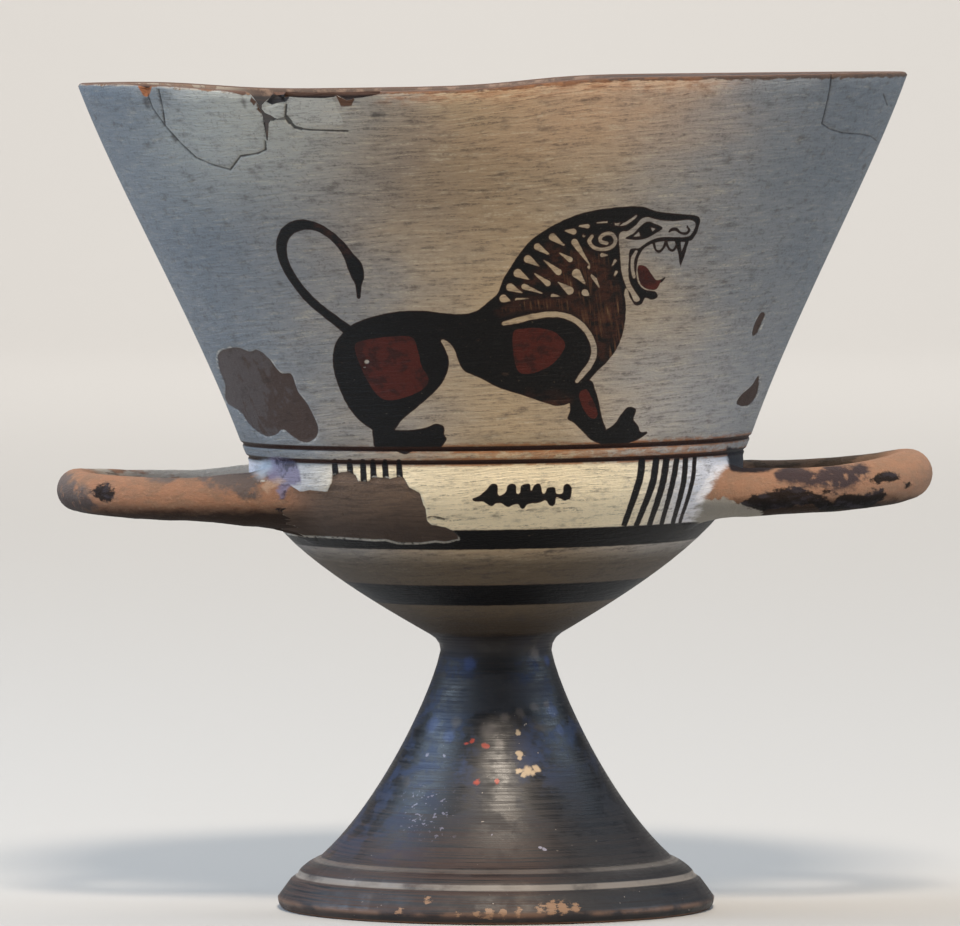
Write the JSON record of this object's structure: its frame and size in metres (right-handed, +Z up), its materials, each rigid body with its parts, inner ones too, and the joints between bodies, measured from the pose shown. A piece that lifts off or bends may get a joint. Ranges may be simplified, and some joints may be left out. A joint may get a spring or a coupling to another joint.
{
  "type": "chalice",
  "caption": "Footed drinking cup of painted clay with a wide flaring bowl, horizontal loop handles and a hollow flared foot.",
  "frame": {"origin": "middle of the standing ring under the foot, on the surface the chalice stands on", "axes": "+Z up along the foot's axis, X through the handles, -Y towards the painted front"},
  "size_m": [0.1606, 0.1518, 0.1534],
  "materials": {
    "slipped clay": "matt cream slip with brown-black glaze bands, worn"
  },
  "bodies": {
    "root": {"chalice": "slipped clay"}
  },
  "joints": []
}
